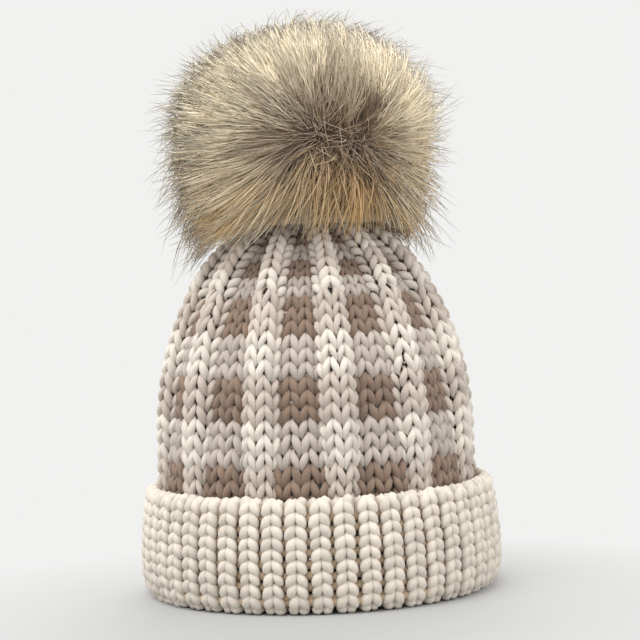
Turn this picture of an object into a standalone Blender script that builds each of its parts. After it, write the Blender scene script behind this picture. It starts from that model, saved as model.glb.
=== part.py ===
"""Pom pom beanie: a knitted cap with a turned-up ribbed cuff and a faux-fur pompom on a press snap.

Metres, +Z up. The origin is the middle of the cuff's bottom edge, and the front faces -Y.
"""

import math

import bmesh
import bpy
from mathutils import Matrix

CLEARANCE = 0.0003  # left between pieces that touch

# Knitted crown
CROWN_RADIUS = 0.0848
CROWN_FABRIC = 0.0075
DOME_START = 0.080
DOME_RISE = 0.122
CHECK_COLUMNS = 12
FIRST_COLUMN = math.radians(8.9)  # middle of a raised column, turned from the front towards +X
COLUMN_SHARE = 0.42  # of each check repeat that is the raised column
COLUMN_DEPTH = 0.006
COLUMN_RUN_IN = 0.030  # height over which the columns rise out of the brim
COLUMN_RUN_OUT = 0.020  # distance over which they die away round the gathered hole

# Ribbed brim, folded up on itself as a cuff
CUFF_HEIGHT = 0.057
RIB_FABRIC = 0.0091
LAYER_GAP = 0.0006
BAND_HEIGHT = 0.046
CUFF_LEAN = 0.0045
BULGE_HEIGHT = 0.017
FOOT_WIDTH = 0.008
RIB_COLUMNS = 48
RIB_DEPTH = 0.003

# Top closure and the snap's hat side
GATHER_RADIUS = 0.0098
CINCH_YARN_RADIUS = 0.0018
SNAP_RADIUS = 0.0115
SNAP_PLATE = 0.0012
SEAT_MARGIN = 0.002
STUD_RADIUS = 0.0026
STUD_HEIGHT = 0.0034
STUD_ROUNDING = 0.0008
BUTTON_RADIUS = 0.0125
BUTTON_THICKNESS = 0.003
BUTTON_RIM = 0.0022
BUTTON_DISH = 0.0008
THREAD_RADIUS = 0.0005
THREAD_HOLE_RADIUS = 0.0009
STUD_HOLE_CIRCLE = 0.0046

# The snap's pompom side
SPRING_WIRE_RADIUS = 0.0004
SPRING_CLEARANCE = 0.0003
SPRING_OPENING = math.radians(50)
SOCKET_LIP = 0.0005
SOCKET_WALL = 0.002
SOCKET_ROOF = 0.002
SOCKET_HOLE_CIRCLE = 0.0088
LASHING_RADIUS = 0.0042

# Pompom
SHANK_BALL_RADIUS = 0.0026
SHANK_RADIUS = 0.0022
KNOT_RADIUS = 0.0042
KNOT_HEIGHT = 0.0025
NECK_RADIUS = 0.007
NECK_LIFT = 0.002  # from the middle of the shank's ball up to the neck's bottom
NECK_LENGTH = 0.002
GATHER_THREAD_RADIUS = 0.0006
BALL_RADIUS = 0.028
BACKING = 0.002
FUR_RADIUS = 0.066
FUR_RISE = 0.048
FUR_LIP_RADIUS = 0.048
FUR_LIP_DROP = 0.047  # from the ball's middle down to the lowest fur
FUR_MOUTH_RADIUS = 0.0095
FUR_MOUTH_LIFT = 0.0016  # from the middle of the shank's ball up to the fur's mouth

# Faceting
CROWN_STEPS = 6 * CHECK_COLUMNS
RIB_STEPS = 3 * RIB_COLUMNS
ROUND_STEPS = 32
SMALL_STEPS = 24
BALL_ARCS = 10
BALL_FACET = math.cos(math.pi / (2 * BALL_ARCS))  # how far a ball's flat facets cut inside its radius

# Radii and heights that follow from the sizes above, from the brim upwards
INNER_RADIUS = CROWN_RADIUS - CROWN_FABRIC
INNER_RISE = DOME_RISE - CROWN_FABRIC
SEAT_RADIUS = SNAP_RADIUS + SEAT_MARGIN
INNER_SEAT_RADIUS = BUTTON_RADIUS + SEAT_MARGIN
SEAT_HEIGHT = DOME_START + DOME_RISE * math.sqrt(1 - (SEAT_RADIUS / CROWN_RADIUS) ** 2)
INNER_SEAT_HEIGHT = DOME_START + INNER_RISE * math.sqrt(1 - (INNER_SEAT_RADIUS / INNER_RADIUS) ** 2)
BUTTON_TOP = INNER_SEAT_HEIGHT - CLEARANCE
BUTTON_BOTTOM = BUTTON_TOP - BUTTON_THICKNESS
STUD_BOTTOM = SEAT_HEIGHT + CLEARANCE
STUD_PLATE_TOP = STUD_BOTTOM + SNAP_PLATE
STUD_TOP = STUD_PLATE_TOP + STUD_HEIGHT
SOCKET_BOTTOM = STUD_PLATE_TOP + 2 * THREAD_RADIUS + 2 * CLEARANCE
SPRING_HEIGHT = SOCKET_BOTTOM + SOCKET_LIP + SPRING_CLEARANCE + SPRING_WIRE_RADIUS
GROOVE_TOP = SPRING_HEIGHT + SPRING_WIRE_RADIUS + SPRING_CLEARANCE
BORE_TOP = max(STUD_TOP, GROOVE_TOP) + CLEARANCE
SOCKET_TOP = BORE_TOP + SOCKET_ROOF
PIVOT_HEIGHT = SOCKET_TOP + CLEARANCE + SHANK_BALL_RADIUS
NECK_BOTTOM = PIVOT_HEIGHT + NECK_LIFT
BALL_HEIGHT = NECK_BOTTOM + NECK_LENGTH + math.sqrt(BALL_RADIUS**2 - NECK_RADIUS**2)
INNER_BALL = BALL_RADIUS - BACKING
NECK_FLOOR = BALL_HEIGHT - math.sqrt(INNER_BALL**2 - NECK_RADIUS**2)
KNOT_BOTTOM = NECK_FLOOR + CLEARANCE
KNOT_TOP = KNOT_BOTTOM + KNOT_HEIGHT


def arc(center_radius, center_height, radius, rise, start, end, count):
    """Points (radius, height) along an ellipse, from one angle in degrees to another."""
    points = []
    for step in range(count + 1):
        angle = math.radians(start + (end - start) * step / count)
        points.append((center_radius + radius * math.cos(angle), center_height + rise * math.sin(angle)))
    return points


def on_circle(radius, angle, height):
    return (radius * math.cos(angle), radius * math.sin(angle), height)


def ring_points(radius, height, start, end, count):
    return [on_circle(radius, start + (end - start) * step / count, height) for step in range(count + 1)]


def principled(name, colour, roughness, metallic=0.0):
    material = bpy.data.materials.new(name)
    material.use_nodes = True
    shader = material.node_tree.nodes["Principled BSDF"]
    shader.inputs["Base Color"].default_value = (*colour, 1)
    shader.inputs["Roughness"].default_value = roughness
    shader.inputs["Metallic"].default_value = metallic
    return material


def new_collection(name):
    collection = bpy.data.collections.new(name)
    bpy.context.scene.collection.children.link(collection)
    return collection


def carrier(name, height):
    """An empty on the hat's axis that carries the pieces moving together."""
    empty = bpy.data.objects.new(name, None)
    empty.location.z = height
    empty.empty_display_size = 0.02
    parts.objects.link(empty)
    return empty


def add_part(name, data, holder, material):
    part = bpy.data.objects.new(name, data)
    part.parent = holder
    data.materials.append(material)
    parts.objects.link(part)
    return part


def turned(name, profile, holder, material, steps=ROUND_STEPS):
    """A solid turned about the hat's axis: (radius, height) points running down the outer side.

    A profile that starts off the axis closes on itself and makes a ring.
    """
    edges = [(index, index + 1) for index in range(len(profile) - 1)]
    if profile[0][0] > CLEARANCE:
        edges.append((len(profile) - 1, 0))
    mesh = bpy.data.meshes.new(name)
    mesh.from_pydata([(radius, 0, height - holder.location.z) for radius, height in profile], edges, [])
    part = add_part(name, mesh, holder, material)
    screw = part.modifiers.new("Turn", "SCREW")
    screw.steps = screw.render_steps = steps
    screw.use_merge_vertices = True
    screw.merge_threshold = 0.00001
    screw.use_smooth_shade = True
    return part


def freeze(part):
    """Makes the modifiers' result the part's own mesh, so that its points can be moved."""
    bpy.context.view_layer.update()
    graph = bpy.context.evaluated_depsgraph_get()
    mesh = bpy.data.meshes.new_from_object(part.evaluated_get(graph))
    part.modifiers.clear()
    part.data = mesh
    return mesh


def strand(name, points, radius, holder, material, closed=True):
    """A thread, yarn or wire as a round tube through (x, y, height) points."""
    curve = bpy.data.curves.new(name, "CURVE")
    curve.dimensions = "3D"
    curve.bevel_depth = radius
    curve.bevel_resolution = 1
    curve.use_fill_caps = True
    spline = curve.splines.new("POLY")
    spline.points.add(len(points) - 1)
    for point, (x, y, height) in zip(spline.points, points):
        point.co = (x, y, height - holder.location.z, 1)
    spline.use_cyclic_u = closed
    return add_part(name, curve, holder, material)


def hole_cutter(name, circle, bottom, top):
    """Four thread holes on a circle about the hat's axis, as one cutter."""
    holes = bmesh.new()
    for quarter in range(4):
        bmesh.ops.create_cone(
            holes,
            cap_ends=True,
            segments=10,
            radius1=THREAD_HOLE_RADIUS,
            radius2=THREAD_HOLE_RADIUS,
            depth=top - bottom,
            matrix=Matrix.Translation(on_circle(circle, quarter * math.pi / 2, (bottom + top) / 2)),
        )
    mesh = bpy.data.meshes.new(name)
    holes.to_mesh(mesh)
    holes.free()
    cutter = bpy.data.objects.new(name, mesh)
    cutter.hide_render = True
    cutter.display_type = "WIRE"
    cutters.objects.link(cutter)
    return cutter


def drill(part, cutter):
    cut = part.modifiers.new("Thread holes", "BOOLEAN")
    cut.operation = "DIFFERENCE"
    cut.object = cutter


def scale_radius(vertex, inward):
    """Moves a point towards the hat's axis."""
    scale = 1 - inward / math.hypot(vertex.co.x, vertex.co.y)
    vertex.co.x *= scale
    vertex.co.y *= scale


def make_crown():
    """Dome of stranded knit with raised and sunken columns, drawn in to a small hole at the top."""
    base = BAND_HEIGHT + CLEARANCE
    middle = (base + DOME_START) / 2
    outer_end = math.degrees(math.acos(SEAT_RADIUS / CROWN_RADIUS))
    inner_end = math.degrees(math.acos(INNER_SEAT_RADIUS / INNER_RADIUS))
    profile = [(GATHER_RADIUS, SEAT_HEIGHT)]
    profile += arc(0, DOME_START, CROWN_RADIUS, DOME_RISE, outer_end, 0, 8)
    profile += [(CROWN_RADIUS, middle), (CROWN_RADIUS, base), (INNER_RADIUS, base), (INNER_RADIUS, middle)]
    profile += arc(0, DOME_START, INNER_RADIUS, INNER_RISE, 0, inner_end, 8)
    profile.append((GATHER_RADIUS, INNER_SEAT_HEIGHT))
    crown = turned("crown_shell", profile, hat, cream_knit, CROWN_STEPS)
    mesh = freeze(crown)
    mesh.transform(Matrix.Rotation(FIRST_COLUMN, 4, "Z"))
    for vertex in mesh.vertices:
        x, y, height = vertex.co
        repeats = CHECK_COLUMNS * (math.atan2(x, -y) - FIRST_COLUMN) / (2 * math.pi)
        off_column = 2 * abs(repeats - round(repeats)) / COLUMN_SHARE
        sunk = 1 - math.sqrt(max(0, 1 - off_column**2))
        above_band = min(1, (height - base) / COLUMN_RUN_IN)
        off_gather = (math.hypot(x, y) - max(SEAT_RADIUS, INNER_SEAT_RADIUS)) / COLUMN_RUN_OUT
        scale_radius(vertex, COLUMN_DEPTH * sunk * above_band * min(1, max(0, off_gather)))


def make_brim():
    """One rib tube folded at its foot: an outer cuff, a flat fold to stand on and an inner band."""
    slot = CROWN_RADIUS + LAYER_GAP
    bulge = slot + RIB_FABRIC
    inside = CROWN_RADIUS - RIB_FABRIC
    foot_out = (inside + bulge + FOOT_WIDTH) / 2
    foot_in = foot_out - FOOT_WIDTH
    lip = (RIB_FABRIC - CUFF_LEAN) / 2
    lip_height = CUFF_HEIGHT - lip
    profile = arc(slot + lip, lip_height, lip, lip, 180, 0, 3)
    for share in (2 / 3, 1 / 3):
        height = BULGE_HEIGHT + (lip_height - BULGE_HEIGHT) * share
        profile.append((bulge - CUFF_LEAN * share**2, height))
    profile += arc(foot_out, BULGE_HEIGHT, bulge - foot_out, BULGE_HEIGHT, 0, -90, 3)
    profile += arc(foot_in, RIB_FABRIC, foot_in - inside, RIB_FABRIC, 270, 180, 2)
    profile += [(inside, BAND_HEIGHT), (CROWN_RADIUS, BAND_HEIGHT)]
    profile += [(CROWN_RADIUS, RIB_FABRIC), (slot, RIB_FABRIC)]
    brim = turned("ribbed_brim", profile, hat, cream_rib, RIB_STEPS)
    mesh = freeze(brim)
    mesh.transform(Matrix.Rotation(math.pi / RIB_STEPS, 4, "Z"))
    for vertex in mesh.vertices:
        x, y, height = vertex.co
        groove = 0.5 - 0.5 * math.cos(RIB_COLUMNS * math.atan2(x, -y))
        across = min(1, max(0, (math.hypot(x, y) - slot) / (2 * lip)))
        scale_radius(vertex, RIB_DEPTH * groove * across * min(1, height / BULGE_HEIGHT))


def make_closure():
    """The cinch yarn in the gathered hole, and the stud and button sewn together through it."""
    cinch_circle = GATHER_RADIUS - CLEARANCE - CINCH_YARN_RADIUS
    cinch_height = SEAT_HEIGHT - CLEARANCE - CINCH_YARN_RADIUS
    circle = arc(cinch_circle, cinch_height, CINCH_YARN_RADIUS, CINCH_YARN_RADIUS, 90, -240, 11)
    turned("crown_cinch_yarn", circle, hat, cream_yarn, SMALL_STEPS)

    holes = hole_cutter(
        "stud_hole_cutter",
        STUD_HOLE_CIRCLE,
        BUTTON_BOTTOM - BUTTON_THICKNESS,
        STUD_PLATE_TOP + SNAP_PLATE,
    )
    stud = turned(
        "snap_stud",
        [
            (0, STUD_TOP),
            (STUD_RADIUS - STUD_ROUNDING, STUD_TOP),
            (STUD_RADIUS, STUD_TOP - STUD_ROUNDING),
            (STUD_RADIUS, STUD_PLATE_TOP),
            (SNAP_RADIUS, STUD_PLATE_TOP),
            (SNAP_RADIUS, STUD_BOTTOM),
            (0, STUD_BOTTOM),
        ],
        hat,
        snap_metal,
        SMALL_STEPS,
    )
    drill(stud, holes)
    button = turned(
        "backing_button",
        [
            (0, BUTTON_TOP),
            (BUTTON_RADIUS, BUTTON_TOP),
            (BUTTON_RADIUS, BUTTON_BOTTOM),
            (BUTTON_RADIUS - BUTTON_RIM, BUTTON_BOTTOM),
            (BUTTON_RADIUS - BUTTON_RIM - BUTTON_DISH, BUTTON_BOTTOM + BUTTON_DISH),
            (0, BUTTON_BOTTOM + BUTTON_DISH),
        ],
        hat,
        button_plastic,
        SMALL_STEPS,
    )
    drill(button, holes)

    top = STUD_PLATE_TOP + CLEARANCE + THREAD_RADIUS
    bottom = BUTTON_BOTTOM + BUTTON_DISH - CLEARANCE - THREAD_RADIUS
    bend = 2 * THREAD_RADIUS
    turn = bend / STUD_HOLE_CIRCLE
    route = []
    for up in (0, math.pi):
        down = up + math.pi / 2
        route.append(on_circle(STUD_HOLE_CIRCLE, up, bottom + bend))
        route.append(on_circle(STUD_HOLE_CIRCLE, up, top - bend))
        route += ring_points(STUD_HOLE_CIRCLE, top, up + turn, down - turn, 4)
        route.append(on_circle(STUD_HOLE_CIRCLE, down, top - bend))
        route.append(on_circle(STUD_HOLE_CIRCLE, down, bottom + bend))
        route += ring_points(STUD_HOLE_CIRCLE, bottom, down + turn, up + math.pi - turn, 4)
    strand("stud_thread", route, THREAD_RADIUS, hat, thread_cotton)


def make_socket():
    """The split spring ring, the socket round it and the thread lashed through the socket's flange."""
    ring = STUD_RADIUS + SPRING_CLEARANCE + SPRING_WIRE_RADIUS
    half_opening = SPRING_OPENING / 2
    route = ring_points(ring, SPRING_HEIGHT, half_opening, 2 * math.pi - half_opening, 24)
    strand("snap_spring", route, SPRING_WIRE_RADIUS, spring_carrier, spring_steel, closed=False)

    bore = STUD_RADIUS + CLEARANCE
    groove = ring + SPRING_WIRE_RADIUS + SPRING_CLEARANCE
    boss = groove + SOCKET_WALL
    flange = SOCKET_TOP - SNAP_PLATE
    socket = turned(
        "snap_socket",
        [
            (0, SOCKET_TOP),
            (SNAP_RADIUS, SOCKET_TOP),
            (SNAP_RADIUS, flange),
            (boss, flange),
            (boss, SOCKET_BOTTOM),
            (bore, SOCKET_BOTTOM),
            (bore, SOCKET_BOTTOM + SOCKET_LIP),
            (groove, SOCKET_BOTTOM + SOCKET_LIP),
            (groove, GROOVE_TOP),
            (bore, GROOVE_TOP),
            (bore, BORE_TOP),
            (0, BORE_TOP),
        ],
        socket_carrier,
        snap_metal,
        SMALL_STEPS,
    )
    holes = hole_cutter("socket_hole_cutter", SOCKET_HOLE_CIRCLE, SOCKET_BOTTOM, SOCKET_TOP + SNAP_PLATE)
    drill(socket, holes)

    above = SOCKET_TOP + CLEARANCE + THREAD_RADIUS
    below = flange - CLEARANCE - THREAD_RADIUS
    bend = 2 * THREAD_RADIUS
    turn = bend / SOCKET_HOLE_CIRCLE
    inner_turn = bend / LASHING_RADIUS
    route = []
    for up in (0, math.pi):
        down = up + math.pi / 2
        route.append(on_circle(SOCKET_HOLE_CIRCLE, up, below + bend))
        route.append(on_circle(SOCKET_HOLE_CIRCLE, up, above - bend))
        route.append(on_circle(SOCKET_HOLE_CIRCLE - bend, up, above))
        route.append(on_circle(LASHING_RADIUS + bend, up, above))
        route += ring_points(LASHING_RADIUS, above, up + inner_turn, down - inner_turn, 4)
        route.append(on_circle(LASHING_RADIUS + bend, down, above))
        route.append(on_circle(SOCKET_HOLE_CIRCLE - bend, down, above))
        route.append(on_circle(SOCKET_HOLE_CIRCLE, down, above - bend))
        route.append(on_circle(SOCKET_HOLE_CIRCLE, down, below + bend))
        route += ring_points(SOCKET_HOLE_CIRCLE, below, down + turn, up + math.pi - turn, 6)
    strand("socket_thread", route, THREAD_RADIUS, socket_carrier, thread_cotton)


def make_pompom():
    """A stuffed ball of fur fabric, its neck drawn shut round a thread shank that rocks on the socket."""
    ball_top = math.degrees(math.asin(SHANK_RADIUS / SHANK_BALL_RADIUS))
    knot_middle = (KNOT_TOP + KNOT_BOTTOM) / 2
    knot_shoulder = (KNOT_RADIUS + SHANK_RADIUS) / 2
    shank = [(0, KNOT_TOP), (knot_shoulder, KNOT_TOP), (KNOT_RADIUS, knot_middle)]
    shank += [(knot_shoulder, KNOT_BOTTOM), (SHANK_RADIUS, KNOT_BOTTOM)]
    shank += arc(0, PIVOT_HEIGHT, SHANK_BALL_RADIUS, SHANK_BALL_RADIUS, 90 - ball_top, -90, 7)
    turned("thread_shank", shank, pompom, thread_cotton, SMALL_STEPS)

    neck_hole = SHANK_RADIUS + CLEARANCE
    outer_end = -math.degrees(math.acos(NECK_RADIUS / BALL_RADIUS))
    inner_end = -math.degrees(math.acos(NECK_RADIUS / INNER_BALL))
    backing = arc(0, BALL_HEIGHT, BALL_RADIUS, BALL_RADIUS, 90, outer_end, BALL_ARCS)
    backing += [(NECK_RADIUS, NECK_BOTTOM), (neck_hole, NECK_BOTTOM), (neck_hole, NECK_FLOOR)]
    backing += arc(0, BALL_HEIGHT, INNER_BALL, INNER_BALL, inner_end, 90, BALL_ARCS)
    turned("pompom_backing", backing, pompom, backing_cloth)

    draw_circle = NECK_RADIUS + CLEARANCE + GATHER_THREAD_RADIUS
    draw_height = NECK_BOTTOM + NECK_LENGTH / 2
    circle = arc(draw_circle, draw_height, GATHER_THREAD_RADIUS, GATHER_THREAD_RADIUS, 90, -210, 5)
    turned("gathering_thread", circle, pompom, thread_cotton, SMALL_STEPS)

    fill = INNER_BALL * BALL_FACET - CLEARANCE
    fill_floor = KNOT_TOP + CLEARANCE
    fill_end = math.degrees(math.asin((fill_floor - BALL_HEIGHT) / fill))
    stuffing = arc(0, BALL_HEIGHT, fill, fill, 90, fill_end, BALL_ARCS) + [(0, fill_floor)]
    turned("pompom_stuffing", stuffing, pompom, fibre_fill)

    cavity = (BALL_RADIUS + CLEARANCE) / BALL_FACET
    cavity_end = -math.degrees(math.acos(FUR_MOUTH_RADIUS / cavity))
    skirt = FUR_RADIUS - FUR_LIP_RADIUS
    fur = arc(0, BALL_HEIGHT, FUR_RADIUS, FUR_RISE, 90, 0, 8)
    fur += arc(FUR_LIP_RADIUS, BALL_HEIGHT, skirt, FUR_LIP_DROP, 0, -90, 6)[1:]
    fur.append((FUR_MOUTH_RADIUS, PIVOT_HEIGHT + FUR_MOUTH_LIFT))
    fur += arc(0, BALL_HEIGHT, cavity, cavity, cavity_end, 90, BALL_ARCS)
    turned("pompom_fur", fur, pompom, fur_pile)


for leftover in list(bpy.data.objects):
    bpy.data.objects.remove(leftover)

parts = new_collection("pom_pom_beanie")
cutters = new_collection("cutters")

cream_knit = principled("cream_knit", (0.70, 0.63, 0.54), 0.9)
cream_rib = principled("cream_rib", (0.74, 0.68, 0.58), 0.9)
cream_yarn = principled("cream_yarn", (0.78, 0.73, 0.64), 0.9)
snap_metal = principled("snap_metal", (0.62, 0.62, 0.63), 0.3, 1.0)
spring_steel = principled("spring_steel", (0.55, 0.55, 0.57), 0.25, 1.0)
button_plastic = principled("button_plastic", (0.72, 0.66, 0.56), 0.4)
thread_cotton = principled("thread_cotton", (0.75, 0.70, 0.62), 0.8)
backing_cloth = principled("backing_cloth", (0.30, 0.22, 0.15), 0.9)
fibre_fill = principled("fibre_fill", (0.85, 0.85, 0.84), 0.95)
fur_pile = principled("fur_pile", (0.36, 0.26, 0.16), 0.7)

hat = carrier("hat_axis", 0)
spring_carrier = carrier("spring_axis", SPRING_HEIGHT)
socket_carrier = carrier("socket_axis", SOCKET_BOTTOM)
pompom = carrier("bobble_pivot", PIVOT_HEIGHT)

make_crown()
make_brim()
make_closure()
make_socket()
make_pompom()
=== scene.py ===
"""Looks of a pom pom beanie: a rib-cuffed cap in bulky gingham knit with a faux-fur pompom.

Metres, +Z up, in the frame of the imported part. The front of the hat faces -Y.
"""

import math

import bmesh
import bpy
import numpy as np
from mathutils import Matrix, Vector, kdtree


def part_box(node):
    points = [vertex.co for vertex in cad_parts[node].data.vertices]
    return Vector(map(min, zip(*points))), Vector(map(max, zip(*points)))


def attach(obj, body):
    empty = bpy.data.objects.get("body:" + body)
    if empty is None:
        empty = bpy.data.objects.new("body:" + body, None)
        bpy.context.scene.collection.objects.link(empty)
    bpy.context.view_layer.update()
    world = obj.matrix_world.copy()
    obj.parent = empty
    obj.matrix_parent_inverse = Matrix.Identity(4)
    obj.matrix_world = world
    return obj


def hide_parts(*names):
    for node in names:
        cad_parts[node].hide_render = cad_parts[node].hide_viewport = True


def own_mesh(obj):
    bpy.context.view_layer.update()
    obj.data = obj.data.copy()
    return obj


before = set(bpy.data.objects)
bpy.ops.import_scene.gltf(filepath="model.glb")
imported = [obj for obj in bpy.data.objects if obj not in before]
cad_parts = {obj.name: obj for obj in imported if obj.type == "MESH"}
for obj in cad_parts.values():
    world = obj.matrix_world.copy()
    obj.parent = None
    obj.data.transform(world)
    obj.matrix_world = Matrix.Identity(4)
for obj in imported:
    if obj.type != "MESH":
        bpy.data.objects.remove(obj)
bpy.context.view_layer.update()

# Ribbed brim
# One-by-one rib in bulky cream wool, knitted from the cuff's edge inwards and folded up at its
# foot. Each knit column is a chain of plump loops, and a purl bar lies sunk between two columns.
rng = np.random.default_rng(11)
crown_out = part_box("crown_shell")[1].x
brim_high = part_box("ribbed_brim")[1]
cuff_out = brim_high.x + 0.0006
cuff_top = brim_high.z
RIB_COLUMNS = 48
RIB_ROW = 0.0056
RIB_LEG = 0.00265
RIB_LEG_TIP = 0.0007
RIB_LEG_HEIGHT = 0.0084
RIB_LEG_INNER = 0.0002
RIB_LEG_OUTER = 0.0040
RIB_LEG_FULL = 0.56
RIB_LEG_STEPS = 11
RIB_RISE = 0.0013
RIB_FABRIC = 0.0091
CUFF_LEAN = 0.0045
BULGE_HEIGHT = 0.017
FOOT_WIDTH = 0.008
BAND_TOP = 0.050
YARN_SIDES = 8
PURL_SINK = 0.0034
PURL_BAR = 0.0023
PURL_SPAN = 0.0074
PURL_ARCH = 0.0012
PURL_CURVE = 0.0010
LEG_WANDER = 0.00028
BAR_WANDER = 0.0003


def linear(red, green, blue):
    """A colour given as sRGB bytes, as shader values."""
    scaled = [channel / 255 for channel in (red, green, blue)]
    return tuple(c / 12.92 if c < 0.04045 else ((c + 0.055) / 1.055) ** 2.4 for c in scaled)


def unit(vectors):
    return vectors / np.linalg.norm(vectors, axis=-1, keepdims=True)


def lengths_along(line):
    """How far along a line each of its points lies."""
    return np.concatenate([[0], np.cumsum(np.linalg.norm(np.diff(line, axis=0), axis=1))])


def spin(radius, turn, height):
    """Points at a radius and height, turned from the front towards +X."""
    return np.stack(np.broadcast_arrays(radius * np.sin(turn), -radius * np.cos(turn), height), -1)


def lay_yarn(paths, radii, ups, sides, tones):
    """Round yarn along many paths at once, with pointed ends.

    paths and ups are (runs, points, 3), radii (runs, points), and tones that or (runs, 1).
    """
    runs, count = radii.shape
    tones = np.broadcast_to(tones, radii.shape)
    along = unit(np.gradient(paths, axis=1))
    across = unit(np.cross(along, ups))
    upward = np.cross(across, along)
    turn = np.arange(sides) * 2 * math.pi / sides
    round_up = radii[..., None] * np.cos(turn)
    round_across = radii[..., None] * np.sin(turn)
    ring = paths[:, :, None] + round_up[..., None] * upward[:, :, None]
    ring += round_across[..., None] * across[:, :, None]
    length = np.zeros((runs, count))
    length[:, 1:] = np.cumsum(np.linalg.norm(np.diff(paths, axis=1), axis=2), axis=1)
    laid = np.stack(np.broadcast_arrays(round_up, round_across, length[..., None]), -1)
    first_end = paths[:, 0] - along[:, 0] * radii[:, :1]
    last_end = paths[:, -1] + along[:, -1] * radii[:, -1:]
    ends = np.stack([first_end, last_end], 1)
    end_laid = np.zeros((runs, 2, 3))
    end_laid[:, 1, 2] = length[:, -1]

    index = np.arange(runs * count * sides).reshape(runs, count, sides)
    after = np.roll(index, -1, axis=2)
    quads = np.stack([index[:, :-1], after[:, :-1], after[:, 1:], index[:, 1:]], -1)
    tips = index.size + np.arange(runs * 2).reshape(runs, 2)
    first = np.broadcast_to(tips[:, :1], (runs, sides))
    last = np.broadcast_to(tips[:, 1:], (runs, sides))
    caps = np.stack(
        [
            np.stack([first, after[:, 0], index[:, 0]], -1),
            np.stack([last, index[:, -1], after[:, -1]], -1),
        ],
        1,
    )

    # Each run has a cell of its own on the flat map, its length across and its girth up
    columns = max(1, round(math.sqrt(runs * sides / count)))
    rows = math.ceil(runs / columns)
    cell = np.stack([np.arange(runs) % columns, np.arange(runs) // columns], -1).astype(float)
    u = np.linspace(0.03, 0.97, count)
    v = np.linspace(0.04, 0.96, sides + 1)
    u0, v0 = np.meshgrid(u[:-1], v[:-1], indexing="ij")
    u1, v1 = np.meshgrid(u[1:], v[1:], indexing="ij")
    quad_map = np.stack([np.stack(pair, -1) for pair in ((u0, v0), (u0, v1), (u1, v1), (u1, v0))], -2)
    middle = (v[:-1] + v[1:]) / 2
    flat = np.zeros(sides)
    start_map = np.stack([[flat, middle], [flat + u[0], v[1:]], [flat + u[0], v[:-1]]])
    end_map = np.stack([[flat + 1, middle], [flat + u[-1], v[:-1]], [flat + u[-1], v[1:]]])
    cap_map = np.stack([start_map, end_map]).transpose(0, 3, 1, 2)
    scale = np.array([columns, rows])
    quad_uv = (cell[:, None, None, None] + quad_map[None]) / scale
    cap_uv = (cell[:, None, None, None] + cap_map[None]) / scale
    return {
        "points": np.concatenate([ring.reshape(-1, 3), ends.reshape(-1, 3)]),
        "quads": quads.reshape(-1, 4),
        "triangles": caps.reshape(-1, 3),
        "laid": np.concatenate([laid.reshape(-1, 3), end_laid.reshape(-1, 3)]),
        "tone": np.concatenate([np.repeat(tones, sides), tones[:, [0, -1]].ravel()]),
        "quad_uv": quad_uv.reshape(-1, 4, 2),
        "cap_uv": cap_uv.reshape(-1, 3, 2),
    }


def yarn_piece(name, layers, material):
    """One object from one or more sets of yarns."""
    start, share = 0, 0.0
    whole = sum(len(layer["quads"]) for layer in layers)
    parts = {key: [] for key in ("points", "quads", "triangles", "laid", "tone", "quad_uv", "cap_uv")}
    for layer in layers:
        band = len(layer["quads"]) / whole
        for key in parts:
            values = layer[key]
            if key in ("quads", "triangles"):
                values = values + start
            elif key in ("quad_uv", "cap_uv"):
                values = values * [1, band] + [0, share]
            parts[key].append(values)
        start += len(layer["points"])
        share += band
    joined = {key: np.concatenate(values) for key, values in parts.items()}
    quads, triangles = joined["quads"], joined["triangles"]
    mesh = bpy.data.meshes.new(name)
    mesh.vertices.add(len(joined["points"]))
    mesh.vertices.foreach_set("co", joined["points"].ravel())
    mesh.loops.add(quads.size + triangles.size)
    mesh.loops.foreach_set("vertex_index", np.concatenate([quads.ravel(), triangles.ravel()]))
    mesh.polygons.add(len(quads) + len(triangles))
    starts = np.concatenate([np.arange(len(quads)) * 4, quads.size + np.arange(len(triangles)) * 3])
    mesh.polygons.foreach_set("loop_start", starts)
    mesh.update(calc_edges=True)
    mesh.shade_smooth()
    mesh.attributes.new("laid", "FLOAT_VECTOR", "POINT").data.foreach_set("vector", joined["laid"].ravel())
    mesh.attributes.new("tone", "FLOAT", "POINT").data.foreach_set("value", joined["tone"])
    uvs = np.concatenate([joined["quad_uv"].ravel(), joined["cap_uv"].ravel()])
    mesh.uv_layers.new(name="OFBake").data.foreach_set("uv", uvs)
    mesh.materials.append(material)
    piece = bpy.data.objects.new(name, mesh)
    bpy.context.scene.collection.objects.link(piece)
    return piece


def blank_material(name):
    """A new material, with its node tree and its shader."""
    material = bpy.data.materials.new(name)
    material.use_nodes = True
    return material, material.node_tree, material.node_tree.nodes["Principled BSDF"]


def node_of(tree, kind, links=(), **settings):
    """A shader node with some inputs set and some linked: links are (input, socket) pairs."""
    made = tree.nodes.new(kind)
    for key, value in settings.items():
        if hasattr(made, key):
            setattr(made, key, value)
        else:
            made.inputs[key.replace("_", " ")].default_value = value
    for key, socket in links:
        tree.links.new(socket, made.inputs[key])
    return made


def shades(tree, factor, stops):
    """A colour ramp through (place, colour) stops."""
    made = node_of(tree, "ShaderNodeValToRGB", [("Fac", factor)])
    ramp = made.color_ramp
    while len(ramp.elements) < len(stops):
        ramp.elements.new(0.5)
    for element, (place, colour) in zip(ramp.elements, stops):
        element.position = place
        element.color = (*colour, 1)
    return made.outputs["Color"]


def surface_relief(tree, shader, height, strength, distance):
    """Lets a texture stand out of the surface."""
    bump = node_of(tree, "ShaderNodeBump", [("Height", height)], Strength=strength, Distance=distance)
    tree.links.new(bump.outputs[0], shader.inputs["Normal"])


def tinted(colour, scale):
    return tuple(min(1, channel * scale) for channel in colour)


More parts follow.
